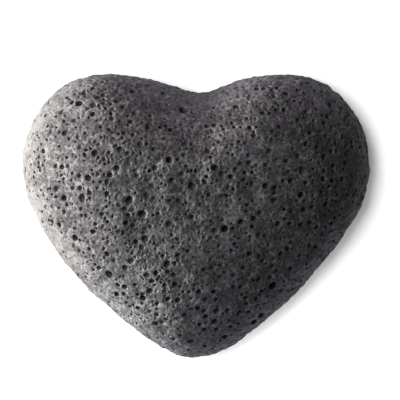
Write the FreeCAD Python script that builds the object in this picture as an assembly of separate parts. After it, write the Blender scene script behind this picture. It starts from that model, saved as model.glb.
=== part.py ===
"""Heart-shaped konjac facial sponge, lying on its flat back with its dome up.

The sponge is one moulding with three layers that part when it is cut and peeled: the skin of the
domed face and sides, the flat back skin, and the open-cell core inside them. The larger pores of
the face go through its skin into the core. X runs across the lobes, Y from the tip to the notch,
and Z up from the back. The origin is the middle of the heart's box on the back. All lengths are in
millimetres.
"""

import FreeCAD
import Part

import math
import os

# Overall size
SPONGE_WIDTH = 85.0
SPONGE_LENGTH = 69.5
SPONGE_HEIGHT = 28.0

# Side wall: the height of its widest line above the back, how far the back's edge draws in under
# it, and how far the wall draws in evenly all round before the dome closes on the crown
WIDEST_HEIGHT = 5.5
BACK_EDGE_INSET = 3.0
WALL_DRAW_IN = 6.0

# From the crown to the outline, on average
MEAN_RADIUS = 34.0

# Layers
FACE_SKIN_THICKNESS = 1.2
BACK_SKIN_THICKNESS = 1.0

# One overrun for every cutting box
CUT_OVERRUN = 5.0

# The heart's outline, clockwise from the notch. Each knot is a share of the half width, a share of
# the half length, both from the middle of the box, and the outline's heading there in degrees.
OUTLINE_SHARES = (
    (0.030, 0.872, 0.0),
    (0.185, 0.930, 19.0),
    (0.514, 1.000, 0.0),
    (1.000, 0.375, -90.0),
    (0.613, -0.484, -134.0),
    (0.349, -0.782, -142.0),
    (0.170, -0.942, -154.0),
    (-0.035, -1.000, -180.0),
    (-0.158, -0.949, 153.0),
    (-0.476, -0.661, 140.0),
    (-0.613, -0.523, 135.0),
    (-0.930, 0.016, 115.0),
    (-1.000, 0.365, 90.0),
    (-0.777, 0.906, 35.0),
    (-0.497, 1.000, 0.0),
    (-0.173, 0.931, -17.0),
)

# Pores through the face skin into the core: their diameters, and how far they go on into the core
WIDE_PORE_DIAMETER = 1.8
MIDDLE_PORE_DIAMETER = 1.45
NARROW_PORE_DIAMETER = 1.2
PORE_DEPTH_IN_CORE = 0.8

# Where the pores open, each as a share of the half width and a share of the half length
WIDE_PORE_SHARES = (
    (-0.07, 0.75), (-0.58, 0.45), (-0.16, 0.40), (0.62, 0.32), (-0.62, 0.27), (-0.02, 0.21),
    (0.40, 0.21), (-0.66, 0.13), (-0.39, 0.12), (0.45, 0.10), (-0.31, 0.01), (-0.16, -0.06),
    (0.17, -0.09), (-0.29, -0.17), (-0.50, -0.42), (0.45, -0.49),
)
MIDDLE_PORE_SHARES = (
    (-0.56, 0.84), (-0.67, 0.80), (-0.60, 0.76), (0.78, 0.78), (-0.78, 0.74), (-0.35, 0.73),
    (0.33, 0.56), (0.64, 0.51), (0.59, 0.43), (0.74, 0.41), (0.31, 0.37), (0.11, 0.34),
    (-0.50, 0.29), (0.84, 0.27), (0.63, 0.23), (-0.81, 0.19), (0.61, 0.15), (0.62, 0.04),
    (-0.40, -0.05), (0.26, -0.05), (0.11, -0.11), (-0.70, -0.15), (0.53, -0.23), (0.21, -0.25),
    (-0.10, -0.27), (-0.38, -0.32), (-0.17, -0.34), (-0.42, -0.37), (0.28, -0.37), (0.16, -0.40),
    (-0.29, -0.42), (-0.12, -0.49), (-0.10, -0.59), (0.12, -0.67), (0.25, -0.68), (0.11, -0.75),
)
NARROW_PORE_SHARES = (
    (0.23, 0.78), (0.46, 0.75), (-0.70, 0.68), (0.56, 0.52), (-0.44, 0.47), (0.07, 0.46),
    (0.43, 0.46), (0.78, 0.45), (0.53, 0.39), (0.86, 0.37), (-0.24, 0.34), (0.15, 0.30),
    (0.20, 0.28), (0.74, 0.26), (0.79, 0.24), (-0.51, 0.16), (-0.28, 0.15), (-0.10, 0.11),
    (-0.74, 0.08), (0.75, 0.08), (-0.03, -0.01), (0.48, -0.06), (0.55, -0.06), (0.70, -0.08),
    (-0.60, -0.11), (0.36, -0.14), (0.31, -0.27), (0.49, -0.27), (-0.56, -0.37), (-0.25, -0.46),
    (0.02, -0.53), (-0.31, -0.58), (0.35, -0.59), (0.01, -0.65),
)

# Where the crown stands, as a share of the half width and the half length
CROWN_X_SHARE = -0.03
CROWN_Y_SHARE = 0.16

# Rings under the widest line, from the back up, as shares of a quarter turn
UNDER_SHARES = (0.7, 0.45, 0.2)

# Rings from the widest line to the crown's small flat top, as shares of the way in
DOME_SHARES = (0.0, 0.02, 0.06, 0.12, 0.2, 0.32, 0.46, 0.62, 0.78, 0.9, 0.96)

# How full the dome is: the powers of its superellipse
FULLNESS_ACROSS = 2.5
FULLNESS_UP = 2.2


def heading_vector(degrees):
    """A unit vector in plan along a heading."""
    turn = math.radians(degrees)
    return FreeCAD.Vector(math.cos(turn), math.sin(turn), 0)


def plan_point(x_share, y_share, height):
    """A point at a height over a place given in shares of the half width and the half length."""
    return FreeCAD.Vector(x_share * SPONGE_WIDTH / 2, y_share * SPONGE_LENGTH / 2, height)


def knots_at(inset, size_share, height):
    """The outline's knots drawn in by an inset, then drawn to the crown to a share of their size."""
    crown = plan_point(CROWN_X_SHARE, CROWN_Y_SHARE, 0)
    knots = []
    for x_share, y_share, heading in OUTLINE_SHARES:
        along = heading_vector(heading)
        inward = FreeCAD.Vector(along.y, -along.x, 0)
        edge = plan_point(x_share, y_share, 0)
        point = crown + (edge + inward * inset - crown) * size_share
        point.z = height
        knots.append((point, along))
    return knots


def arc_edge(start, corner, end):
    """The arc from start to end whose end tangents meet at corner."""
    chord = end - start
    lean = chord.getAngle(corner - start)
    middle = (start + end) / 2
    outward = (corner - middle).normalize()
    crest = middle + outward * (chord.Length / 2 * math.tan(lean / 2))
    return Part.Arc(start, crest, end).toShape()


def biarc_edges(start, start_along, end, end_along):
    """Two arcs that join smoothly and leave and arrive along the given directions."""
    gap = end - start
    both = start_along + end_along
    spread = 2 * (1 - start_along.dot(end_along))
    reach = (math.sqrt(gap.dot(both) ** 2 + spread * gap.dot(gap)) - gap.dot(both)) / spread
    first_corner = start + start_along * reach
    second_corner = end - end_along * reach
    joint = (first_corner + second_corner) / 2
    return [arc_edge(start, first_corner, joint), arc_edge(joint, second_corner, end)]


def heart_ring(inset, size_share, height):
    """A closed heart outline of smooth arcs at a height."""
    knots = knots_at(inset, size_share, height)
    edges = []
    for (start, start_along), (end, end_along) in zip(knots, knots[1:] + knots[:1]):
        edges += biarc_edges(start, start_along, end, end_along)
    return Part.Wire(edges)


def heart_body(depth):
    """The whole heart as a solid whose wall and dome lie a depth inside the sponge's surface."""
    rings = []
    first_turn = UNDER_SHARES[0] * math.pi / 2
    for turn_share in UNDER_SHARES:
        turn = turn_share * math.pi / 2
        inset = depth + BACK_EDGE_INSET * (1 - math.cos(turn)) / (1 - math.cos(first_turn))
        height = WIDEST_HEIGHT * (1 - math.sin(turn) / math.sin(first_turn))
        rings.append(heart_ring(inset, 1.0, height))
    radius = MEAN_RADIUS - depth
    rise = SPONGE_HEIGHT - depth - WIDEST_HEIGHT
    for way_in in DOME_SHARES:
        draw_in = WALL_DRAW_IN * (1 - math.exp(-way_in * radius / WALL_DRAW_IN))
        size_share = (1 - way_in) * radius / (radius - draw_in)
        fullness = (1 - (1 - way_in) ** FULLNESS_ACROSS) ** (1 / FULLNESS_UP)
        rings.append(heart_ring(depth + draw_in, size_share, WIDEST_HEIGHT + rise * fullness))
    return Part.makeLoft(rings, True, False, False)


def slab(bottom, top):
    """A box over the whole sponge between two heights."""
    corner = FreeCAD.Vector(-SPONGE_WIDTH / 2 - CUT_OVERRUN, -SPONGE_LENGTH / 2 - CUT_OVERRUN, bottom)
    width = SPONGE_WIDTH + 2 * CUT_OVERRUN
    length = SPONGE_LENGTH + 2 * CUT_OVERRUN
    return Part.makeBox(width, length, top - bottom, corner)


def mouths(outside, places):
    """Where the pores at these places open through the top of the sponge."""
    top = SPONGE_HEIGHT + CUT_OVERRUN
    lines = [Part.makeLine(plan_point(*place, 0), plan_point(*place, top)) for place in places]
    columns = outside.common(Part.makeCompound(lines)).Edges
    return [max((end.Point for end in column.Vertexes), key=lambda point: point.z) for column in columns]


def pore_cutter(diameter):
    """A round-ended cutter that hangs from a mouth at the origin down through the skin into the core."""
    depth = FACE_SKIN_THICKNESS + PORE_DEPTH_IN_CORE - diameter / 2
    end = FreeCAD.Vector(0, 0, -depth)
    shaft = Part.makeCylinder(diameter / 2, depth + diameter, end)
    return shaft.fuse(Part.makeSphere(diameter / 2, end))


def make_pores(outside):
    """Every pore of the face as a cutter that points in from its mouth to the middle of the sponge."""
    sizes = (
        (WIDE_PORE_DIAMETER, WIDE_PORE_SHARES),
        (MIDDLE_PORE_DIAMETER, MIDDLE_PORE_SHARES),
        (NARROW_PORE_DIAMETER, NARROW_PORE_SHARES),
    )
    aim = plan_point(CROWN_X_SHARE, CROWN_Y_SHARE, WIDEST_HEIGHT)
    pores = []
    for diameter, places in sizes:
        cutter = pore_cutter(diameter)
        for mouth in mouths(outside, places):
            turn = FreeCAD.Rotation(FreeCAD.Vector(0, 0, -1), aim - mouth)
            pores.append(cutter.transformed(FreeCAD.Placement(mouth, turn).toMatrix()))
    return pores


def make_parts():
    """Every layer of the sponge by name."""
    outside = heart_body(0.0)
    inside = heart_body(FACE_SKIN_THICKNESS)
    below_face = slab(-CUT_OVERRUN, BACK_SKIN_THICKNESS)
    pores = make_pores(outside)
    back_skin = outside.common(below_face)
    filled_core = inside.cut(below_face)
    front_skin = outside.cut(below_face).cut(filled_core).cut(pores)
    foam_core = filled_core.cut(pores)
    return {"front_skin": front_skin, "back_skin": back_skin, "foam_core": foam_core}


os.makedirs("parts", exist_ok=True)
for name, shape in make_parts().items():
    print(name, "valid", shape.isValid(), "solids", len(shape.Solids), "volume", round(shape.Volume, 1))
    shape.exportStep(f"parts/{name}.step")
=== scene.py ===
"""Looks of a heart-shaped konjac sponge: three foam layers with open pores, on a pale floor in soft light.

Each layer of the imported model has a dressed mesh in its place. The face skin and the back skin carry the
cells of the foam as relief, and the pores are cut through them into the core. All lengths are in metres.
"""

import logging
import math
from dataclasses import dataclass
from enum import Enum, IntEnum

import bmesh
import bpy
import numpy as np
from bpy.types import Mesh, Object
from mathutils import Matrix, Vector
from mathutils.bvhtree import BVHTree
from mathutils.kdtree import KDTree


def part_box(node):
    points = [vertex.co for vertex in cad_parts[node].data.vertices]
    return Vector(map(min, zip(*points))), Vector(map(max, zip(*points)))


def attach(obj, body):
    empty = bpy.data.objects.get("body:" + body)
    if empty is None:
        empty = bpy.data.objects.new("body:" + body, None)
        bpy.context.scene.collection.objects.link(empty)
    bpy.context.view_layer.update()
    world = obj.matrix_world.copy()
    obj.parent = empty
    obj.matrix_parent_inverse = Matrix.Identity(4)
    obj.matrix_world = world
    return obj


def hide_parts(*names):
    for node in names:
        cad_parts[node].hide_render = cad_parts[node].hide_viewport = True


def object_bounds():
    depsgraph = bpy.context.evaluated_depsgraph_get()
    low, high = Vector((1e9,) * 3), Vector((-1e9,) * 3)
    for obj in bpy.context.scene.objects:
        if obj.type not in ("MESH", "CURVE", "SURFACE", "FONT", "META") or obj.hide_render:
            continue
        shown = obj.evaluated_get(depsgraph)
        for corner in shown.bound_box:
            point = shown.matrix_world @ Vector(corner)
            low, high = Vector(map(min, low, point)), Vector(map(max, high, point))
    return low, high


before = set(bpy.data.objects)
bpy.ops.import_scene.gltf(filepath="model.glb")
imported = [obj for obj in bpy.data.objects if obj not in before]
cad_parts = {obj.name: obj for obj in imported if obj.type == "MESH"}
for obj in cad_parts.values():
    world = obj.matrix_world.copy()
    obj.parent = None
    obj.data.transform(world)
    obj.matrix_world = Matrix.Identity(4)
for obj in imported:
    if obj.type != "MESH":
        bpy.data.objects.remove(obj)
CAD_LOW, CAD_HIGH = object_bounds()

LOG = logging.getLogger("sponge")
MM = 0.001

# Types, and the spans and the colour that come back often
Colour = tuple[float, float, float]
Span = tuple[float, float]
Socket = bpy.types.NodeSocket
WHOLE: Span = (0.0, 1.0)
FALLING: Span = (1.0, 0.0)
WHITE: Colour = (1.0, 1.0, 1.0)

# The marks on each vertex, the depth at which the first is 1, and what every written mark is over
PIT = "pit"
WALL = "wall"
RIM = "rim"
PIT_REACH = 1.5 * MM
UNMARKED = 0.5

# How upright a surface is where the side wall starts, and how much less where the wall is full
WALL_START = 0.82
WALL_SPAN = 0.48

# The wall at the left, where the side lamp falls, which gets a paler, warmer painted highlight and calmer
# patterns and relief: where it starts and where it is full
LIT_SIDE_START = -18 * MM
LIT_SIDE_FULL = -40 * MM

# The whole numbers that stir a lattice cell into a random number
CELL_FACTORS = (73856093, 19349663, 83492791)
SALT_FACTOR = 2654435761
STIRS = ((13, 1274126177), (16, 2246822519))
LAST_SHIFT = 15
LOW_32_BITS = 0xFFFFFFFF
LOW_24_BITS = 0xFFFFFF

# The photograph: its side, and the middle and width of the sponge's outline in it
PHOTO_SIDE_PX = 400
SPONGE_MIDDLE_PX = (196.0, 216.0)
SPONGE_WIDTH_PX = 346.0
METRES_PER_PX = (CAD_HIGH.x - CAD_LOW.x) / SPONGE_WIDTH_PX


class PoreSize(Enum):
    """How wide a pore's dark mouth is in the photograph, in pixels."""

    WIDEST = 7.4
    WIDE = 6.2
    MIDDLE = 5.2
    NARROW = 4.3
    FINE = 3.2


# Places of the pores in the photograph, by the width of their mouths
PORES_PX = {
    PoreSize.WIDEST: (
        (184, 110), (303, 171), (192, 186), (82, 198), (129, 200), (142, 214), (225, 229), (109, 275),
        (273, 286),
    ),
    PoreSize.WIDE: (
        (98, 97), (79, 103), (93, 105), (95, 153), (169, 160), (299, 156), (88, 178), (215, 168),
        (301, 195), (266, 186), (274, 201), (75, 238), (169, 224), (215, 231), (241, 222), (145, 239),
        (131, 261), (167, 264), (217, 311), (240, 313), (215, 322),
    ),
    PoreSize.MIDDLE: (
        (133, 91), (61, 111), (93, 114), (135, 113), (236, 106), (277, 110), (331, 105), (74, 120),
        (328, 117), (64, 133), (254, 136), (140, 144), (306, 144), (120, 149), (208, 151), (270, 151),
        (331, 152), (324, 157), (249, 163), (287, 161), (345, 163), (155, 168), (117, 168), (110, 175),
        (172, 180), (222, 174), (231, 177), (291, 181), (306, 183), (323, 179), (332, 181), (342, 179),
        (56, 189), (107, 194), (147, 195), (64, 198), (179, 201), (275, 188), (192, 217), (304, 210),
        (326, 204), (260, 213), (254, 219), (93, 232), (126, 223), (136, 242), (259, 235), (266, 236),
        (278, 224), (290, 224), (301, 225), (310, 223), (317, 227), (232, 251), (250, 254), (281, 254),
        (288, 249), (178, 255), (99, 268), (125, 268), (225, 273), (244, 268), (234, 276), (273, 266),
        (291, 269), (271, 277), (259, 279), (147, 275), (156, 273), (152, 281), (175, 285), (125, 287),
        (117, 294), (150, 291), (143, 298), (199, 292), (214, 292), (246, 298), (168, 299), (178, 300),
        (198, 308), (228, 311), (261, 315), (206, 317), (156, 324), (254, 322), (231, 327), (205, 330),
        (217, 330), (225, 337), (191, 342),
    ),
    PoreSize.NARROW: (
        (103, 82), (93, 88), (84, 93), (103, 95), (117, 101), (72, 102), (88, 108), (123, 107),
        (144, 104), (169, 113), (164, 93), (257, 88), (264, 88), (277, 88), (286, 94), (284, 110),
        (263, 113), (305, 93), (298, 90), (306, 112), (314, 104), (112, 119), (131, 122), (148, 127),
        (171, 130), (124, 133), (207, 126), (214, 125), (212, 131), (250, 128), (273, 131), (280, 127),
        (314, 121), (324, 123), (310, 133), (80, 147), (292, 142), (352, 142), (317, 147), (353, 147),
        (43, 151), (85, 155), (128, 153), (154, 149), (184, 155), (249, 155), (56, 166), (62, 167),
        (68, 166), (135, 171), (137, 176), (98, 174), (79, 176), (182, 174), (196, 171), (205, 182),
        (241, 164), (245, 173), (244, 180), (252, 184), (266, 165), (333, 166), (73, 188), (80, 188),
        (90, 193), (209, 195), (227, 196), (119, 205), (125, 209), (67, 205), (64, 212), (102, 214),
        (86, 216), (158, 214), (170, 201), (248, 205), (247, 212), (292, 212), (312, 207), (52, 222),
        (59, 225), (66, 232), (133, 226), (331, 223), (142, 247), (240, 239), (235, 244), (219, 246),
        (188, 251), (260, 256), (269, 245), (310, 245), (316, 247), (300, 256), (104, 249), (107, 254),
        (274, 259), (263, 261), (114, 261), (168, 272), (204, 270), (212, 268), (221, 266), (277, 271),
        (174, 275), (165, 285), (118, 285), (241, 287), (234, 287), (262, 291), (124, 294), (206, 299),
        (256, 299), (157, 304), (138, 308), (150, 312), (157, 315), (185, 315), (204, 311), (249, 312),
        (247, 304), (162, 323), (200, 325), (239, 324), (173, 340),
    ),
    PoreSize.FINE: (
        (127, 90), (75, 94), (67, 97), (99, 106), (111, 104), (151, 105), (148, 99), (154, 95),
        (177, 97), (193, 104), (214, 107), (239, 89), (239, 96), (245, 95), (224, 105), (295, 101),
        (301, 103), (315, 91), (317, 110), (333, 111), (295, 82), (308, 83), (45, 115), (129, 98),
        (56, 116), (79, 117), (64, 121), (120, 121), (128, 116), (143, 122), (152, 119), (157, 118),
        (47, 126), (67, 130), (101, 127), (176, 121), (182, 125), (193, 127), (133, 135), (119, 134),
        (221, 135), (260, 138), (266, 132), (267, 138), (272, 139), (232, 123), (335, 114), (302, 127),
        (296, 134), (349, 125), (356, 121), (332, 127), (336, 134), (164, 139), (147, 136), (58, 142),
        (41, 144), (99, 144), (105, 137), (219, 142), (227, 147), (283, 141), (39, 157), (43, 165),
        (146, 168), (25, 170), (34, 177), (59, 208), (154, 198), (204, 223), (250, 241), (118, 252),
        (84, 253), (177, 319),
    ),
}

# Pores that are only shallow dents in the photograph
SHALLOW_PORES_PX = (
    (120, 86), (46, 207), (53, 207), (51, 132), (78, 137), (51, 138), (155, 139), (185, 145), (152, 186),
    (347, 117), (214, 97), (225, 91), (231, 114),
)


class Salt(IntEnum):
    """Sets the patterns of the relief apart from one another."""

    SWELL = 11
    DENT = 23
    LUMP = 29
    CRUMB = 31
    CELL = 37
    GRAIN = 53


def eased(share: np.ndarray) -> np.ndarray:
    """Eases shares from 0 to 1, so that what they drive starts and ends softly."""
    return share * share * (3 - 2 * share)


def lattice_values(cells: np.ndarray, salt: int) -> np.ndarray:
    """Gives each cell of a lattice its own even random number.

    Args:
        cells: Whole-number cells, in rows of three.
        salt: Sets one pattern apart from another.

    Returns:
        A number from 0 to 1 for each cell.
    """
    whole = cells.astype(np.int64)
    mixed = salt * SALT_FACTOR
    for axis, factor in enumerate(CELL_FACTORS):
        mixed = mixed ^ (whole[..., axis] * factor)
    for shift, factor in STIRS:
        mixed = (mixed ^ (mixed >> shift)) * factor & LOW_32_BITS
    return ((mixed ^ (mixed >> LAST_SHIFT)) & LOW_24_BITS) / LOW_24_BITS


def smooth_noise(points: np.ndarray, spacing: float, salt: int) -> np.ndarray:
    """Blends lattice values smoothly, for swells in the surface.

    Args:
        points: Places, in rows of three.
        spacing: The distance from one swell to the next.
        salt: Sets one pattern apart from another.

    Returns:
        A number from -1 to 1 for each place.
    """
    scaled = points / spacing
    low = np.floor(scaled)
    share = eased(scaled - low)
    total = np.zeros(len(points))
    for corner in np.ndindex(2, 2, 2):
        step = np.array(corner)
        weight = np.prod(np.where(step == 1, share, 1 - share), axis=1)
        total += weight * lattice_values(low + step, salt)
    return total * 2 - 1


def nearest_cells(points: np.ndarray, spacing: float, salt: int) -> tuple[np.ndarray, ...]:
    """Finds the two nearest of many scattered cell middles.

    Args:
        points: Places, in rows of three.
        spacing: The distance from one cell to the next.
        salt: Sets one pattern apart from another.

    Returns:
        The distances to the nearest and the next middle, as shares of the spacing, and the nearest
        cell's random number.
    """
    scaled = points / spacing
    home = np.floor(scaled)
    nearest = np.full(len(points), np.inf)
    second = np.full(len(points), np.inf)
    value = np.zeros(len(points))
    for corner in np.ndindex(3, 3, 3):
        cell = home + np.array(corner) - 1
        middle = cell + np.stack([lattice_values(cell, salt + axis) for axis in range(3)], axis=1)
        distance = np.linalg.norm(scaled - middle, axis=1)
        closer = distance < nearest
        second = np.where(closer, nearest, np.minimum(second, distance))
        nearest = np.where(closer, distance, nearest)
        value = np.where(closer, lattice_values(cell, salt + 3), value)
    return nearest, second, value


def wall_share(normals: np.ndarray) -> np.ndarray:
    """Tells the sponge's steep side wall from its face and its back.

    Args:
        normals: Normals of the smooth outside, in rows of three.

    Returns:
        A share from 0 on the face and the back to 1 on the wall.
    """
    return eased(np.clip((WALL_START - np.abs(normals[:, 2])) / WALL_SPAN, 0, 1))


def mesh_places(mesh: Mesh) -> np.ndarray:
    """Reads where a mesh's vertices are.

    Args:
        mesh: The mesh to read.

    Returns:
        The places, in rows of three.
    """
    places = np.empty(len(mesh.vertices) * 3, np.float32)
    mesh.vertices.foreach_get("co", places)
    return places.reshape(-1, 3).astype(float)


def mesh_normals(mesh: Mesh) -> np.ndarray:
    """Reads which way a mesh's vertices face.

    Args:
        mesh: The mesh to read.

    Returns:
        The normals, in rows of three.
    """
    normals = np.empty(len(mesh.vertices) * 3, np.float32)
    mesh.vertex_normals.foreach_get("vector", normals)
    return normals.reshape(-1, 3).astype(float)


def mesh_neighbours(mesh: Mesh) -> np.ndarray:
    """Lists which vertices of a mesh share an edge.

    Args:
        mesh: The mesh to read.

    Returns:
        Rows of a vertex and its neighbour, two for each edge, one from either end.
    """
    edges = np.empty(len(mesh.edges) * 2, np.int32)
    mesh.edges.foreach_get("vertices", edges)
    ends = edges.reshape(-1, 2)
    return np.concatenate([ends, ends[:, ::-1]])


def set_places(mesh: Mesh, places: np.ndarray) -> None:
    """Moves a mesh's vertices to new places."""
    mesh.vertices.foreach_set("co", places.astype(np.float32).ravel())
    mesh.update()


def finished(shape: bmesh.types.BMesh, name: str) -> Mesh:
    """Turns a bmesh into a new mesh and frees it.

    Args:
        shape: The bmesh, which can't be used afterwards.
        name: The new mesh's name.

    Returns:
        The new mesh.
    """
    mesh = bpy.data.meshes.new(name)
    shape.to_mesh(mesh)
    shape.free()
    return mesh


def add_object(name: str, data: bpy.types.ID) -> Object:
    """Puts an object at the origin of the scene.

    Args:
        name: The object's name.
        data: Its mesh, camera or lamp.

    Returns:
        The new object.
    """
    thing = bpy.data.objects.new(name, data)
    bpy.context.scene.collection.objects.link(thing)
    return thing


def applied(thing: Object) -> Mesh:
    """Applies an object's modifiers and gives the new mesh, which the object then wears.

    Args:
        thing: A mesh object with modifiers.

    Returns:
        The new mesh.
    """
    graph = bpy.context.evaluated_depsgraph_get()
    mesh = bpy.data.meshes.new_from_object(thing.evaluated_get(graph))
    thing.modifiers.clear()
    thing.data = mesh
    return mesh


@dataclass(frozen=True)
class Grab:
    """A soft push of the face's foam, in millimetres: its middle in plan, its reach and the way it goes."""

    middle: tuple[float, float]
    reach: float
    push: tuple[float, float, float]


@dataclass
class HeartForm:
    """The smooth outside of the sponge and of its core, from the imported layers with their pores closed."""

    crease: float = math.radians(35)
    weld: float = 0.001 * MM
    overlap: float = 0.6 * MM
    voxel: float = 0.2 * MM
    smoothing_rounds: int = 6
    ridge_x: float = -1.4 * MM
    ridge_top: float = 2.0 * MM
    ridge_fade: float = 8.0 * MM
    ridge_reach: float = 14.0 * MM
    ridge_edge: float = 0.5
    ridge_lean: float = 0.5
    ridge_lean_span: float = 0.3
    rounding_rounds: int = 900
    rounding_factor: float = 0.8
    weight_steps: int = 40
    grab_low: float = 7.0 * MM
    grab_full: float = 14.0 * MM
    grabs: tuple[Grab, ...] = (
        Grab((9.0, 4.0), 24.0, (1.5, 0.0, 0.0)),
        Grab((0.0, -4.0), 18.0, (-1.0, 0.0, -0.6)),
        Grab((-3.0, -22.0), 18.0, (-3.0, 0.0, -1.2)),
        Grab((-23.0, 13.0), 15.0, (0.0, 0.0, 0.6)),
        Grab((-24.0, -2.0), 13.0, (0.0, 0.0, 0.6)),
        Grab((-16.0, -16.0), 13.0, (0.0, 0.0, 0.4)),
        Grab((28.0, 10.0), 18.0, (0.0, 0.0, 0.8)),
        Grab((6.0, 14.0), 10.0, (0.0, 0.0, 0.3)),
    )

    def closed_layer(self, node: str) -> bmesh.types.BMesh:
        """Copies the smooth outside of a layer and closes its pores and its underside.

        Args:
            node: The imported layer's name.

        Returns:
            A closed bmesh.
        """
        shell = bmesh.new()
        shell.from_mesh(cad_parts[node].data)
        bmesh.ops.remove_doubles(shell, verts=shell.verts, dist=self.weld)
        todo = [max(shell.faces, key=lambda face: face.calc_center_median().z)]
        kept = set(todo)
        while todo:
            for edge in todo.pop().edges:
                if len(edge.link_faces) == 2 and edge.calc_face_angle(math.pi) < self.crease:
                    fresh = [face for face in edge.link_faces if face not in kept]
                    kept.update(fresh)
                    todo.extend(fresh)
        lost = [face for face in shell.faces if face not in kept]
        bmesh.ops.delete(shell, geom=lost, context="FACES")
        rims = [edge for edge in shell.edges if edge.is_boundary]
        filled = bmesh.ops.holes_fill(shell, edges=rims, sides=0)
        bmesh.ops.triangulate(shell, faces=filled["faces"])
        return shell

    def core(self) -> Object:
        """Makes the smooth core.

        Returns:
            The core, which also cuts the skin to its thickness.
        """
        mesh = finished(self.closed_layer("foam_core"), "smooth_core")
        self.push_about(mesh)
        mark_inside(mesh)
        return add_object("smooth_core", mesh)

    def outside(self) -> Object:
        """Makes the smooth outside.

        Returns:
            One even mesh, fine enough to carry the foam's relief.
        """
        shell = self.closed_layer("front_skin")
        back_start = len(shell.verts)
        shell.from_mesh(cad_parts["back_skin"].data)
        shell.verts.ensure_lookup_table()
        back_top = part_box("back_skin")[1].z
        raised = [v for v in shell.verts[back_start:] if v.co.z > back_top - self.weld]
        bmesh.ops.translate(shell, verts=raised, vec=(0, 0, self.overlap))
        bmesh.ops.remove_doubles(shell, verts=shell.verts[back_start:], dist=self.weld)
        thing = add_object("smooth_outside", finished(shell, "smooth_outside"))
        remesh = thing.modifiers.new("even", "REMESH")
        remesh.mode = "VOXEL"
        remesh.voxel_size = self.voxel
        self.relax(applied(thing))
        self.round_ridge(thing)
        self.push_about(thing.data)
        return thing

    def push_about(self, mesh: Mesh) -> None:
        """Moves the dome by each soft push, and leaves the wall where it is.

        Args:
            mesh: The outside or the core, which is changed.
        """
        places = mesh_places(mesh)
        raised = np.clip((places[:, 2] - self.grab_low) / (self.grab_full - self.grab_low), 0, 1)
        for grab in self.grabs:
            away = np.linalg.norm(places[:, :2] / MM - grab.middle, axis=1) / grab.reach
            near = np.clip(1 - away * away, 0, 1) ** 2
            places += np.array(grab.push) * MM * (near * raised)[:, None]
        set_places(mesh, places)

    def round_ridge(self, thing: Object) -> None:
        """Rounds off the ridge that runs down the dome to the tip.

        Args:
            thing: The even outside, which gets the new mesh.
        """
        mesh = thing.data
        places = mesh_places(mesh)
        beside = 1 - np.abs(places[:, 0] - self.ridge_x) / self.ridge_reach
        below = (self.ridge_top - places[:, 1]) / self.ridge_fade
        upward = (mesh_normals(mesh)[:, 2] - self.ridge_lean) / self.ridge_lean_span
        share = np.clip(beside / self.ridge_edge, 0, 1) * np.clip(below, 0, 1) * np.clip(upward, 0, 1)
        ridge = thing.vertex_groups.new(name="ridge")
        for step in range(1, self.weight_steps + 1):
            part = np.flatnonzero(np.ceil(share * self.weight_steps) == step)
            ridge.add(part.tolist(), step / self.weight_steps, "REPLACE")
        smooth = thing.modifiers.new("rounded", "SMOOTH")
        smooth.factor = self.rounding_factor
        smooth.iterations = self.rounding_rounds
        smooth.vertex_group = ridge.name
        applied(thing)
        thing.vertex_groups.clear()

    def relax(self, mesh: Mesh) -> None:
        """Evens out a mesh by drawing each vertex to its neighbours, which also softens the back's edge.

        Args:
            mesh: The mesh to smooth.
        """
        both = mesh_neighbours(mesh)
        count = np.bincount(both[:, 0], minlength=len(mesh.vertices))[:, None]
        places = mesh_places(mesh)
        for _ in range(self.smoothing_rounds):
            total = np.stack([np.bincount(both[:, 0], places[both[:, 1], axis]) for axis in range(3)], axis=1)
            places = (places + total / count) / 2
        set_places(mesh, places)


def mark(mesh: Mesh, name: str, values: np.ndarray) -> None:
    """Writes a mark on each vertex, raised by 1, because a vertex that a later cut adds has 0.

    Args:
        mesh: The mesh to mark.
        name: The mark's name.
        values: The mark of each vertex.
    """
    attribute = mesh.attributes.new(name, "FLOAT", "POINT")
    attribute.data.foreach_set("value", (values + 1).astype(np.float32))


def mark_inside(mesh: Mesh) -> None:
    """Marks every vertex of a mesh as deep inside the foam.

    Args:
        mesh: The mesh to mark.
    """
    none = np.zeros(len(mesh.vertices))
    mark(mesh, PIT, none + 1)
    mark(mesh, WALL, none)
    mark(mesh, RIM, none)


def finish_marks(mesh: Mesh) -> None:
    """Gives each vertex that a cut has added the marks of its neighbours, and takes the 1 off all.

    Args:
        mesh: The cut mesh.
    """
    both = mesh_neighbours(mesh)
    count = len(mesh.vertices)
    for name in (PIT, WALL, RIM):
        values = np.empty(count, np.float32)
        data = mesh.attributes[name].data
        data.foreach_get("value", values)
        known = values > UNMARKED
        told = both[known[both[:, 1]]]
        total = np.bincount(told[:, 0], values[told[:, 1]], count)
        heard = np.bincount(told[:, 0], minlength=count)
        near = np.where(heard > 0, total / np.maximum(heard, 1), 1)
        data.foreach_set("value", (np.where(known, values, near) - 1).astype(np.float32))


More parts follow.
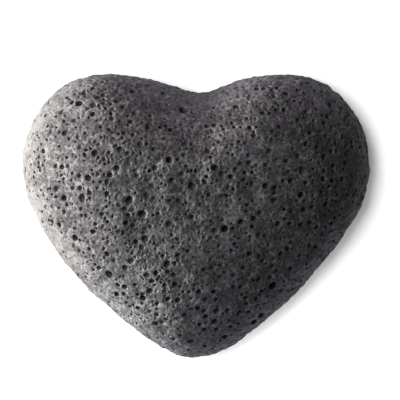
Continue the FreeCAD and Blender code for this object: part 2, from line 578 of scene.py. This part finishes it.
@dataclass
class FoamRelief:
    """The swells and small cells of the foam, moved into the surface of a mesh."""

    swell_spacing: float = 10 * MM
    swell_height: float = 0.2 * MM
    dent_spacing: float = 3.6 * MM
    dent_height: float = 0.17 * MM
    lump_spacing: float = 1.6 * MM
    lump_height: float = 0.07 * MM
    wall_lump_height: float = 0.26 * MM
    crumb_spacing: float = 1.0 * MM
    crumb_height: float = 0.16 * MM
    cell_spacing: float = 1.2 * MM
    cell_depth: float = 0.15 * MM
    grain_spacing: float = 0.75 * MM
    grain_depth: float = 0.045 * MM
    slope_share: float = 0.55
    least_depth: float = 0.25
    lit_side_calm: float = 0.35
    back_height: float = 0.3 * MM

    def cells(self, points: np.ndarray, spacing: float, salt: int) -> np.ndarray:
        """Gives flat pits of uneven depth with thin ridges between them.

        Args:
            points: Places, in rows of three.
            spacing: The distance from one pit to the next.
            salt: Sets one pattern apart from another.

        Returns:
            A depth from 0 on the ridges to 1 in the deepest pits.
        """
        nearest, second, value = nearest_cells(points, spacing, salt)
        rise = 1 - np.clip((second - nearest) / self.slope_share, 0, 1)
        return (1 - eased(rise)) * (self.least_depth + (1 - self.least_depth) * value)

    def apply(self, mesh: Mesh) -> None:
        """Moves the vertices of a smooth mesh in by the depth of the relief, and marks them.

        Args:
            mesh: The smooth mesh, which is changed.
        """
        places = mesh_places(mesh)
        normals = mesh_normals(mesh)
        wall = wall_share(normals)
        swell = smooth_noise(places, self.swell_spacing, Salt.SWELL) * self.swell_height
        dent = smooth_noise(places, self.dent_spacing, Salt.DENT) * self.dent_height
        lump_height = self.lump_height + (self.wall_lump_height - self.lump_height) * wall
        lump = smooth_noise(places, self.lump_spacing, Salt.LUMP) * lump_height
        crumb = smooth_noise(places, self.crumb_spacing, Salt.CRUMB) * self.crumb_height * wall
        pits = self.cells(places, self.cell_spacing, Salt.CELL) * self.cell_depth
        grain = self.cells(places, self.grain_spacing, Salt.GRAIN) * self.grain_depth
        lit_side = wall * np.clip((LIT_SIDE_START - places[:, 0]) / (LIT_SIDE_START - LIT_SIDE_FULL), 0, 1)
        calm = 1 - self.lit_side_calm * lit_side
        pits *= calm
        grain *= calm
        lifted = swell + dent + (lump + crumb) * calm - pits - grain
        low = places[:, 2] < self.back_height
        lifted[low] = np.minimum(lifted[low], 0)
        moved = places + normals * lifted[:, None]
        moved[:, 2] = np.maximum(moved[:, 2], 0)
        set_places(mesh, moved)
        # The depth mark, by which the foam's colour darkens as painted shade in the cells
        mark(mesh, PIT, (pits + grain) / PIT_REACH)
        mark(mesh, WALL, wall)


@dataclass(frozen=True)
class Pore:
    """One pore: where its mouth is, which way it faces, and its shape."""

    mouth: Vector
    facing: Vector
    radius: float
    depth_share: float
    sunk_share: float
    fine: bool


@dataclass
class PhotoCamera:
    """The camera straight above, which shows the photograph's frame at the height of the widest line."""

    distance: float = 0.8
    sensor: float = 36.0
    widest_height: float = 5.5 * MM
    clip_start: float = 8.0 * MM

    def plan_place(self, x_px: float, y_px: float) -> Vector:
        """Gives the place at the widest line's height that a pixel shows.

        Args:
            x_px: How far right the pixel is in the photograph.
            y_px: How far down it is.

        Returns:
            The place.
        """
        x = (x_px - SPONGE_MIDDLE_PX[0]) * METRES_PER_PX
        y = (SPONGE_MIDDLE_PX[1] - y_px) * METRES_PER_PX
        return Vector((x, y, self.widest_height))

    def eye(self) -> Vector:
        """Gives the camera's own place, over the middle of the photograph."""
        middle = PHOTO_SIDE_PX / 2
        return self.plan_place(middle, middle) + Vector((0, 0, self.distance))

    def build(self) -> None:
        """Makes the camera and sets it as the scene's."""
        data = bpy.data.cameras.new("photo_camera")
        data.sensor_width = self.sensor
        data.lens = self.sensor * self.distance / (PHOTO_SIDE_PX * METRES_PER_PX)
        data.clip_start = self.clip_start
        camera = add_object("photo_camera", data)
        camera.location = self.eye()
        bpy.context.scene.camera = camera


@dataclass
class PoreField:
    """All the pores: those that the photograph shows, and scattered small ones on every side."""

    camera: PhotoCamera
    seed: int = 4
    scattered: int = 2800
    smallest: float = 0.22 * MM
    largest: float = 0.5 * MM
    shallow_share: float = 0.46
    shallow_growth: float = 1.5
    gap: float = 0.1 * MM
    mouth_growth: float = 0.99
    mouth_sizes: Span = (0.92, 1.08)
    mouth_depths: Span = (0.7, 1.4)
    mouth_sunk: float = 0.25
    slope_power: float = 0.3
    least_slope: float = 0.35
    lean: float = 0.35
    dent_sizes: Span = (1.0, 1.3)
    dent_sunk: float = -0.45
    small_depths: Span = (1.0, 1.6)
    small_sunk: float = 0.3
    small_dent_sunk: float = -0.5
    wall_skip: float = 0.5
    bubble_widths: Span = (0.86, 1.14)
    fine_rounding: int = 2
    wide_rounding: int = 3
    lip: float = 0.45 * MM
    lip_share: float = 0.6
    lip_depth: float = 0.14 * MM
    batch: int = 40

    def photo_pores(self, surface: BVHTree, random: np.random.Generator) -> list[Pore]:
        """Finds where the pores of the photograph lie on the sponge.

        Args:
            surface: The smooth outside.
            random: The source of the pores' small differences.

        Returns:
            The pores that the photograph shows.
        """
        pores = []
        eye = self.camera.eye()
        for size, places in PORES_PX.items():
            for x_px, y_px in places:
                ray = (self.camera.plan_place(x_px, y_px) - eye).normalized()
                mouth, facing, _, _ = surface.ray_cast(eye, ray)
                if mouth is None:
                    continue
                radius = size.value / 2 * METRES_PER_PX * self.mouth_growth
                radius *= random.uniform(*self.mouth_sizes)
                radius /= max(facing.z, self.least_slope) ** self.slope_power
                facing = (facing - ray * self.lean).normalized()
                depth = random.uniform(*self.mouth_depths)
                pores.append(Pore(mouth, facing, radius, depth, self.mouth_sunk, size is PoreSize.FINE))
        for x_px, y_px in SHALLOW_PORES_PX:
            ray = (self.camera.plan_place(x_px, y_px) - eye).normalized()
            mouth, facing, _, _ = surface.ray_cast(eye, ray)
            radius = PoreSize.MIDDLE.value / 2 * METRES_PER_PX * random.uniform(*self.dent_sizes)
            pores.append(Pore(mouth, facing, radius, 1.0, self.dent_sunk, False))
        return pores

    def scattered_pores(
        self, places: np.ndarray, normals: np.ndarray, taken: list[Pore], random: np.random.Generator
    ) -> list[Pore]:
        """Scatters small pores over the whole surface, clear of those that are there.

        Args:
            places: The smooth outside's vertices.
            normals: Its normals.
            taken: The pores that are there already.
            random: The source of the places and sizes.

        Returns:
            The new pores.
        """
        centres = [np.array(pore.mouth) for pore in taken]
        radii = [pore.radius for pore in taken]
        on_wall = wall_share(normals)
        pores = []
        for index in random.permutation(len(places)):
            if len(pores) == self.scattered:
                break
            if random.uniform() < self.wall_skip * on_wall[index]:
                continue
            radius = self.smallest + (self.largest - self.smallest) * random.uniform() ** 2
            place = places[index]
            room = np.linalg.norm(np.array(centres) - place, axis=1) - np.array(radii) - radius
            if room.min() < self.gap:
                continue
            centres.append(place)
            radii.append(radius)
            facing = Vector(normals[index])
            if random.uniform() < self.shallow_share:
                radius *= self.shallow_growth
                pores.append(Pore(Vector(place), facing, radius, 1.0, self.small_dent_sunk, True))
            else:
                depth = random.uniform(*self.small_depths)
                pores.append(Pore(Vector(place), facing, radius, depth, self.small_sunk, True))
        return pores

    def soften_mouths(self, mesh: Mesh, pores: list[Pore]) -> None:
        """Draws the surface in a little round the mouth of each deep pore, and marks the pore's rim, which
        the foam's colour lightens as a painted highlight.

        Args:
            mesh: The outside with its relief, which is changed.
            pores: The pores that are to be cut.
        """
        places = mesh_places(mesh)
        tree = KDTree(len(places))
        for index, place in enumerate(places):
            tree.insert(place, index)
        tree.balance()
        rim = np.zeros(len(places))
        for pore in pores:
            if pore.sunk_share < 0:
                continue
            lip = min(self.lip, pore.radius * self.lip_share)
            for _, index, distance in tree.find_range(pore.mouth, pore.radius + lip):
                near = 1 - max(0.0, distance - pore.radius) / lip
                rim[index] = max(rim[index], near)
        drawn_in = rim * rim * self.lip_depth
        set_places(mesh, places - mesh_normals(mesh) * drawn_in[:, None])
        mark(mesh, RIM, rim)

    def cutters(self, pores: list[Pore], random: np.random.Generator) -> Object:
        """Makes one mesh of bubbles that cut the pores.

        Args:
            pores: The pores to cut.
            random: The source of the bubbles' unevenness.

        Returns:
            An object that holds every bubble.
        """
        together = bmesh.new()
        for start in range(0, len(pores), self.batch):
            bubbles = bmesh.new()
            for pore in pores[start : start + self.batch]:
                self.add_bubble(bubbles, pore, random)
            together.from_mesh(finished(bubbles, "bubbles"))
        return add_object("pore_cutters", finished(together, "pore_cutters"))

    def add_bubble(self, bubbles: bmesh.types.BMesh, pore: Pore, random: np.random.Generator) -> None:
        """Adds the bubble that cuts one pore.

        Args:
            bubbles: The bmesh that gets the bubble.
            pore: The pore to cut.
            random: The source of the bubble's unevenness.
        """
        radius = pore.radius / math.sqrt(1 - pore.sunk_share**2)
        turn = pore.facing.to_track_quat("Z", "Y").to_matrix().to_4x4()
        spin = Matrix.Rotation(random.uniform(0, 2 * math.pi), 4, "Z")
        wide = random.uniform(*self.bubble_widths)
        shape = Matrix.Diagonal((radius * wide, radius / wide, radius * pore.depth_share, 1))
        sunk = Matrix.Translation((0, 0, -pore.sunk_share * radius * pore.depth_share))
        matrix = Matrix.Translation(pore.mouth) @ turn @ sunk @ spin @ shape
        layers = bubbles.verts.layers.float
        pit, wall, rim = (layers.get(name) or layers.new(name) for name in (PIT, WALL, RIM))
        rounding = self.fine_rounding if pore.fine else self.wide_rounding
        made = bmesh.ops.create_icosphere(bubbles, subdivisions=rounding, radius=1, matrix=matrix)
        on_wall = float(wall_share(np.array([pore.facing]))[0])
        for vert in made["verts"]:
            # Depth into the pore, by which the foam's colour darkens as painted shade
            vert[pit] = max(0.0, (pore.mouth - vert.co).dot(pore.facing) / PIT_REACH) + 1
            vert[wall] = on_wall + 1
            vert[rim] = 1


class Cut(Enum):
    """What a boolean keeps."""

    LESS = "DIFFERENCE"
    SHARED = "INTERSECT"


def boolean(thing: Object, tool: Object, cut: Cut) -> None:
    """Cuts an object by another and applies the result.

    Args:
        thing: The object to cut.
        tool: The closed object that cuts it.
        cut: What is kept.
    """
    modifier = thing.modifiers.new("cut", "BOOLEAN")
    modifier.solver = "MANIFOLD"
    modifier.operation = cut.value
    modifier.object = tool
    applied(thing)


@dataclass
class NodeMaker:
    """Adds nodes to a material's tree."""

    tree: bpy.types.NodeTree
    warp_detail: float = 1.0
    warp_middle: Colour = (0.5, 0.5, 0.5)
    smallest_dot: float = 4.0

    def add(self, kind: str, inputs: dict[str | int, object], **settings: object) -> bpy.types.Node:
        """Adds a node.

        Args:
            kind: The node's type.
            inputs: What fills its inputs, by their names or their places.
            settings: The node's own properties.

        Returns:
            The new node.
        """
        node = self.tree.nodes.new(kind)
        for name, value in settings.items():
            setattr(node, name, value)
        for name, value in inputs.items():
            self.fill(node.inputs[name], value)
        return node

    def fill(self, socket: Socket, value: object) -> None:
        """Links a socket to another, or sets it.

        Args:
            socket: The input to fill.
            value: An output socket, a colour or a vector of three numbers, or one number.
        """
        if isinstance(value, Socket):
            self.tree.links.new(value, socket)
        elif isinstance(value, tuple):
            socket.default_value = (*value, 1.0)[: len(socket.default_value)]
        else:
            socket.default_value = value

    def vector(self, operation: str, inputs: dict[str | int, object]) -> Socket:
        """Works out a vector or a colour."""
        return self.add("ShaderNodeVectorMath", inputs, operation=operation).outputs["Vector"]

    def number(self, operation: str, first: Socket, second: Socket) -> Socket:
        """Works out a number from two others."""
        return self.add("ShaderNodeMath", {0: first, 1: second}, operation=operation).outputs["Value"]

    def product(self, first: Socket, second: Socket) -> Socket:
        """Multiplies two numbers."""
        return self.number("MULTIPLY", first, second)

    def mark(self, name: str) -> Socket:
        """Reads a mark of the mesh's vertices."""
        return self.add("ShaderNodeAttribute", {}, attribute_name=name).outputs["Fac"]

    def noise(self, place: Socket, scale: float, detail: float) -> Socket:
        """Adds a cloudy noise and gives its value."""
        settings = {"Vector": place, "Scale": scale, "Detail": detail}
        return self.add("ShaderNodeTexNoise", settings).outputs["Fac"]

    def warped(self, place: Socket, scale: float, reach: float) -> Socket:
        """Shifts places to and fro by a noise, so that a pattern read there bends.

        Args:
            place: The places.
            scale: The noise's scale.
            reach: How far the noise shifts a place at most, to either side.

        Returns:
            The shifted places.
        """
        settings = {"Vector": place, "Scale": scale, "Detail": self.warp_detail}
        colours = self.add("ShaderNodeTexNoise", settings).outputs["Color"]
        centred = self.vector("SUBTRACT", {0: colours, 1: self.warp_middle})
        shift = self.vector("SCALE", {0: centred, "Scale": 2 * reach})
        return self.vector("ADD", {0: place, 1: shift})

    def threads(self, place: Socket, scale: float, reach: Span) -> Socket:
        """Adds the thin walls between small cells.

        Args:
            place: The places to read.
            scale: How many cells stand in a metre.
            reach: How far a wall's full middle and its soft edge reach to each side, as shares of a cell.

        Returns:
            1 on the walls and 0 in the cells.
        """
        settings = {"Vector": place, "Scale": scale}
        cells = self.add("ShaderNodeTexVoronoi", settings, feature="DISTANCE_TO_EDGE")
        return self.span(cells.outputs["Distance"], reach, FALLING)

    def dots(self, place: Socket, scale: float) -> Socket:
        """Adds round dots of uneven size.

        Args:
            place: The places to read.
            scale: How many dots stand in a metre.

        Returns:
            The distance to the nearest dot's middle, from 0 there, drawn out where the dot is small.
        """
        cells = self.add("ShaderNodeTexVoronoi", {"Vector": place, "Scale": scale}, feature="F1")
        size = self.add("ShaderNodeSeparateXYZ", {0: cells.outputs["Color"]})
        drawn_out = self.span(size.outputs["X"], WHOLE, (1.0, self.smallest_dot))
        return self.product(cells.outputs["Distance"], drawn_out)

    def mix_colour(self, share: Socket, first: object, second: object) -> Socket:
        """Mixes two colours by a share and gives the result."""
        inputs = {"Factor": share, "A": first, "B": second}
        return self.add("ShaderNodeMix", inputs, data_type="RGBA").outputs["Result"]

    def span(self, value: Socket, span: Span, target: Span) -> Socket:
        """Maps a value softly from one span to another.

        Args:
            value: The value to map.
            span: The values that get the ends of the target.
            target: What they get.

        Returns:
            The mapped value, held within the target.
        """
        ends = dict(zip(("From Min", "From Max", "To Min", "To Max"), (*span, *target)))
        node = self.add("ShaderNodeMapRange", {"Value": value, **ends}, interpolation_type="SMOOTHSTEP")
        return node.outputs["Result"]

    def shade(self, colour: Socket, value: Socket, span: Span, shades: Span) -> Socket:
        """Scales a colour by a pattern, from the first shade at its span's start to the second at its end."""
        return self.vector("SCALE", {0: colour, "Scale": self.span(value, span, shades)})


@dataclass(frozen=True)
class Foam:
    """A charcoal foam finish: its colours on the face, on the wall, on the lit left wall, where a paler,
    warmer colour is a painted highlight, and down in the pores, where a darker colour is painted shade.

    A pattern has a scale, the span of its values that matters, and the shades that the ends of that span get.
    """

    name: str
    face_colour: Colour
    wall_colour: Colour
    painted_light_colour: Colour
    pit_shade_colour: Colour
    noise_span: Span = (0.3, 0.7)
    patch_scale: float = 70.0
    patch_detail: float = 3.0
    patch_shades: Span = (0.8, 1.25)
    cloud_scale: float = 320.0
    cloud_detail: float = 2.0
    cloud_shades: Span = (0.72, 1.3)
    warp_scale: float = 700.0
    warp_reach: float = 0.7 * MM
    cell_scale: float = 880.0
    thread_span: Span = (0.02, 0.18)
    thread_shades: Span = (0.82, 1.55)
    fading_span: Span = (0.35, 0.65)
    fading_shades: Span = (0.7, 1.0)
    fine_scale: float = 1500.0
    fine_span: Span = (0.0, 0.2)
    fine_shades: Span = (0.92, 1.2)
    speck_scale: float = 820.0
    speck_detail: float = 2.0
    speck_span: Span = (0.5, 0.7)
    speck_shades: Span = (0.84, 1.85)
    wall_contrast: float = 0.55
    lit_side_contrast: float = 0.7
    dot_scale: float = 900.0
    dot_span: Span = (0.12, 0.34)
    dot_shades: Span = (0.5, 1.0)
    rim_highlight_shades: Span = (1.0, 1.2)
    palest: float = 0.185
    pit_shade_span: Span = (0.14, 0.9)
    sheen: float = 0.08
    roughness: float = 0.7
    bump: float = 0.2
    bump_height: float = 0.12 * MM

    def build(self) -> bpy.types.Material:
        """Makes the material.

        Returns:
            The new material.
        """
        material = bpy.data.materials.new(self.name)
        material.use_nodes = True
        shader = material.node_tree.nodes["Principled BSDF"]
        nodes = NodeMaker(material.node_tree)
        place = nodes.add("ShaderNodeTexCoord", {}).outputs["Object"]
        wall, pit, rim = (nodes.mark(name) for name in (WALL, PIT, RIM))
        across = nodes.add("ShaderNodeSeparateXYZ", {0: place})
        # Painted highlight: the wall at the left, where the side lamp falls, is paler and warmer
        lit_side = nodes.product(wall, nodes.span(across.outputs["X"], (LIT_SIDE_FULL, LIT_SIDE_START), FALLING))
        plain = nodes.mix_colour(wall, self.face_colour, self.wall_colour)
        plain = nodes.mix_colour(lit_side, plain, self.painted_light_colour)
        patches = nodes.noise(place, self.patch_scale, self.patch_detail)
        plain = nodes.shade(plain, patches, self.noise_span, self.patch_shades)
        clouds = nodes.noise(place, self.cloud_scale, self.cloud_detail)
        warped = nodes.warped(place, self.warp_scale, self.warp_reach)
        threads = nodes.threads(warped, self.cell_scale, self.thread_span)
        fading = nodes.product(threads, nodes.span(clouds, self.fading_span, self.fading_shades))
        fine = nodes.threads(warped, self.fine_scale, self.fine_span)
        specks = nodes.noise(place, self.speck_scale, self.speck_detail)
        colour = nodes.shade(plain, clouds, self.noise_span, self.cloud_shades)
        colour = nodes.shade(colour, fading, WHOLE, self.thread_shades)
        colour = nodes.shade(colour, fine, WHOLE, self.fine_shades)
        colour = nodes.shade(colour, specks, self.speck_span, self.speck_shades)
        # Calmer patterns on the wall, and more so on the lit left wall, to go with its painted highlight
        on_wall = nodes.span(wall, WHOLE, (1.0, self.wall_contrast))
        on_lit_side = nodes.span(lit_side, WHOLE, (1.0, self.lit_side_contrast))
        colour = nodes.mix_colour(nodes.product(on_wall, on_lit_side), plain, colour)
        colour = nodes.shade(colour, nodes.dots(warped, self.dot_scale), self.dot_span, self.dot_shades)
        # Painted highlight on the lips of the pores
        colour = nodes.shade(colour, rim, WHOLE, self.rim_highlight_shades)
        colour = nodes.vector("MINIMUM", {0: colour, 1: (self.palest,) * 3})
        # Painted shade: the colour darkens towards the pit colour the deeper a place lies in a cell or a pore
        colour = nodes.mix_colour(nodes.span(pit, self.pit_shade_span, WHOLE), colour, self.pit_shade_colour)
        nodes.fill(shader.inputs["Base Color"], colour)
        shader.inputs["Roughness"].default_value = self.roughness
        shader.inputs["Specular IOR Level"].default_value = self.sheen
        bumps = {"Strength": self.bump, "Distance": self.bump_height, "Height": threads}
        nodes.fill(shader.inputs["Normal"], nodes.add("ShaderNodeBump", bumps).outputs["Normal"])
        return material


WALL_GREY: Colour = (0.1, 0.097, 0.104)
# A paler, warmer grey for the wall at the left: a painted highlight of the side lamp
PAINTED_LIGHT_GREY: Colour = (0.13, 0.1265, 0.122)
SKIN_GREY: Colour = (0.0735, 0.0715, 0.0725)
# Painted shade down in the pores and cells of the face and back foam
PORE_SHADE_GREY: Colour = (0.07, 0.068, 0.07)
# Painted shade: the core, seen only down the pores, is a darker copy of the foam, darker still deep down
CORE_SHADE_GREY: Colour = (0.035, 0.034, 0.035)
DEEP_SHADE_GREY: Colour = (0.03, 0.0295, 0.03)

FACE_FOAM = Foam("face_foam", SKIN_GREY, WALL_GREY, PAINTED_LIGHT_GREY, PORE_SHADE_GREY)
BACK_FOAM = Foam("back_foam", SKIN_GREY, WALL_GREY, PAINTED_LIGHT_GREY, PORE_SHADE_GREY)
# The core's finish: the foam's material in painted shade
SHADED_CORE_FOAM = Foam("core_foam", CORE_SHADE_GREY, CORE_SHADE_GREY, CORE_SHADE_GREY, DEEP_SHADE_GREY)


@dataclass
class Sponge:
    """The dressed sponge: a face skin, a back skin and a core, each in the place of its packed layer."""

    form: HeartForm
    relief: FoamRelief
    pores: PoreField
    slab_margin: float = 10 * MM
    slab_cuts: int = 50

    def build(self) -> list[Object]:
        """Makes the three layers.

        Returns:
            The face skin, the back skin and the core.
        """
        random = np.random.default_rng(self.pores.seed)
        body = self.form.outside()
        smooth = mesh_places(body.data), mesh_normals(body.data)
        surface = BVHTree.FromObject(body, bpy.context.evaluated_depsgraph_get())
        LOG.info("smooth outside: %d vertices", len(body.data.vertices))
        self.relief.apply(body.data)
        seen = self.pores.photo_pores(surface, random)
        small = self.pores.scattered_pores(*smooth, seen, random)
        LOG.info("pores: %d seen, %d scattered", len(seen), len(small))
        self.pores.soften_mouths(body.data, seen + small)
        cutters = self.pores.cutters(seen + small, random)
        core = self.form.core()
        below = self.slab_below()
        back = add_object("back_foam", body.data.copy())
        boolean(back, below, Cut.SHARED)
        boolean(body, below, Cut.LESS)
        boolean(body, core, Cut.LESS)
        body.name = "face_foam"
        core.name = "core_foam"
        layers = [body, back, core]
        for layer in layers:
            boolean(layer, cutters, Cut.LESS)
            finish_marks(layer.data)
            layer.data.shade_smooth()
            LOG.info("%s: %d faces", layer.name, len(layer.data.polygons))
        for tool in (cutters, below):
            bpy.data.objects.remove(tool)
        return layers

    def slab_below(self) -> Object:
        """Makes the slab that parts the back skin from the rest.

        Returns:
            A box of small faces.
        """
        low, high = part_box("back_skin")
        slab = bmesh.new()
        bmesh.ops.create_cube(slab, size=1)
        bmesh.ops.subdivide_edges(slab, edges=slab.edges, cuts=self.slab_cuts, use_grid_fill=True)
        size = (
            high.x - low.x + 2 * self.slab_margin,
            high.y - low.y + 2 * self.slab_margin,
            high.z + self.slab_margin,
        )
        bmesh.ops.scale(slab, verts=slab.verts, vec=size)
        bmesh.ops.translate(slab, verts=slab.verts, vec=(0, 0, high.z - size[2] / 2))
        mesh = finished(slab, "back_slab")
        mark_inside(mesh)
        return add_object("back_slab", mesh)


@dataclass(frozen=True)
class Lamp:
    """A soft lamp: where it stands, its size, level and colour, and the place that it looks at."""

    name: str
    azimuth: float
    elevation: float
    distance: float
    size: Span
    level: float
    colour: Colour
    for_floor: bool = False
    aim: tuple[float, float, float] = (0.0, 0.0, 0.01)


@dataclass
class Studio:
    """The pale floor, the soft lamps and the pale surroundings."""

    floor_size: float = 6.0
    floor_grey: float = 0.92
    floor_bounce: float = 0.3
    floor_glow: float = 0.19
    floor_drop: float = 0.05 * MM
    glow_span: Span = (0.25, 0.7)
    surroundings: float = 0.039
    cool: Colour = (0.95, 0.93, 1.0)
    lamps: tuple[Lamp, ...] = (
        Lamp("side_lamp", 176.5, 6.5, 0.42, (0.16, 0.065), 3.85, (1.0, 0.98, 0.93)),
        Lamp("soft_lamp", 150.0, 46.0, 0.5, (0.4, 0.3), 0.73, (0.97, 0.94, 1.0)),
        Lamp("top_fill", 105.0, 8.0, 0.5, (0.3, 0.1), 0.12, (0.95, 0.65, 1.0)),
        Lamp("low_fill", 252.0, 8.0, 0.5, (0.3, 0.1), 0.33, (0.78, 0.85, 1.0)),
        Lamp("floor_lamp", 154.0, 71.0, 1.5, (0.75, 0.6), 1.15, WHITE, True),
        Lamp("tip_lamp", 285.0, 42.0, 0.045, (0.03, 0.02), 1.1, WHITE, True, (0.008, -0.037, 0.0)),
    )

    def build(self, sponge: list[Object]) -> None:
        """Makes the floor, the lamps and the world.

        Args:
            sponge: The layers of the sponge, which the side lamps light.
        """
        floor = self.floor()
        self.world()
        lit = {True: [floor], False: sponge}
        for lamp in self.lamps:
            self.add_lamp(lamp, lit[lamp.for_floor])

    def seen_directly(self, nodes: NodeMaker) -> Socket:
        """Tells what is seen from what only lights the foam.

        Args:
            nodes: The tree that asks.

        Returns:
            1 for what is seen straight or in a sheen, and 0 otherwise.
        """
        path = nodes.add("ShaderNodeLightPath", {})
        seen = path.outputs["Is Camera Ray"]
        for kind in ("Is Glossy Ray", "Is Transmission Ray"):
            seen = nodes.number("MAXIMUM", seen, path.outputs[kind])
        return seen

    def floor(self) -> Object:
        """Makes the floor, whose own glow only the camera sees.

        Returns:
            The floor.
        """
        plane = bmesh.new()
        lowered = Matrix.Translation((0, 0, -self.floor_drop))
        bmesh.ops.create_grid(plane, x_segments=1, y_segments=1, size=self.floor_size / 2, matrix=lowered)
        thing = add_object("floor", finished(plane, "floor"))
        material = bpy.data.materials.new("pale_floor")
        material.use_nodes = True
        nodes = NodeMaker(material.node_tree)
        shader = material.node_tree.nodes["Principled BSDF"]
        seen = self.seen_directly(nodes)
        grey = nodes.mix_colour(seen, (self.floor_bounce,) * 3, (self.floor_grey,) * 3)
        nodes.fill(shader.inputs["Base Color"], grey)
        shader.inputs["Roughness"].default_value = 1.0
        shader.inputs["Specular IOR Level"].default_value = 0.0
        nodes.fill(shader.inputs["Emission Color"], WHITE)
        place = nodes.add("ShaderNodeTexCoord", {}).outputs["Object"]
        away = nodes.add("ShaderNodeVectorMath", {0: place}, operation="LENGTH")
        glow = nodes.span(away.outputs["Value"], self.glow_span, (self.floor_glow, 1.0))
        nodes.fill(shader.inputs["Emission Strength"], nodes.product(seen, glow))
        thing.data.materials.append(material)
        return thing

    def world(self) -> None:
        """Makes the surroundings: a little cool light, and plain white to the camera."""
        world = bpy.data.worlds.new("surroundings")
        bpy.context.scene.world = world
        world.use_nodes = True
        nodes = NodeMaker(world.node_tree)
        background = world.node_tree.nodes["Background"]
        seen = self.seen_directly(nodes)
        light = tuple(self.surroundings * share for share in self.cool)
        nodes.fill(background.inputs["Color"], nodes.mix_colour(seen, light, WHITE))

    def add_lamp(self, lamp: Lamp, lit: list[Object]) -> None:
        """Makes a lamp that looks at the sponge.

        Args:
            lamp: The lamp, whose level is how bright it lights white that faces it, where 1 renders white.
            lit: The objects that it lights.
        """
        data = bpy.data.lights.new(lamp.name, "AREA")
        data.shape = "RECTANGLE"
        data.size, data.size_y = lamp.size
        data.energy = lamp.level * math.pi**2 * lamp.distance**2
        data.color = lamp.colour
        turn = Matrix.Rotation(math.radians(lamp.azimuth), 3, "Z")
        away = turn @ Matrix.Rotation(-math.radians(lamp.elevation), 3, "Y") @ Vector((1, 0, 0))
        thing = add_object(lamp.name, data)
        thing.location = Vector(lamp.aim) + away * lamp.distance
        thing.rotation_euler = (-away).to_track_quat("-Z", "Y").to_euler()
        group = bpy.data.collections.new(f"{lamp.name}_lights")
        for piece in lit:
            group.objects.link(piece)
        thing.light_linking.receiver_collection = group


def main() -> None:
    """Builds the sponge, its stage and its camera."""
    logging.basicConfig(level=logging.INFO, format="%(message)s")
    bpy.context.scene.view_settings.view_transform = "Standard"
    camera = PhotoCamera()
    camera.build()
    layers = Sponge(HeartForm(), FoamRelief(), PoreField(camera)).build()
    Studio().build(layers)
    dressing = (
        (FACE_FOAM, "front_skin", "charcoal_face_skin"),
        (BACK_FOAM, "back_skin", "charcoal_back_skin"),
        (SHADED_CORE_FOAM, "foam_core", "charcoal_core"),
    )
    for layer, (foam, node, slot) in zip(layers, dressing):
        layer.data.materials.clear()
        layer.data.materials.append(foam.build())
        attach(layer, "root")
        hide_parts(node)
        LOG.info("%s stands for %s", layer.name, node)


if __name__ == "__main__":
    main()
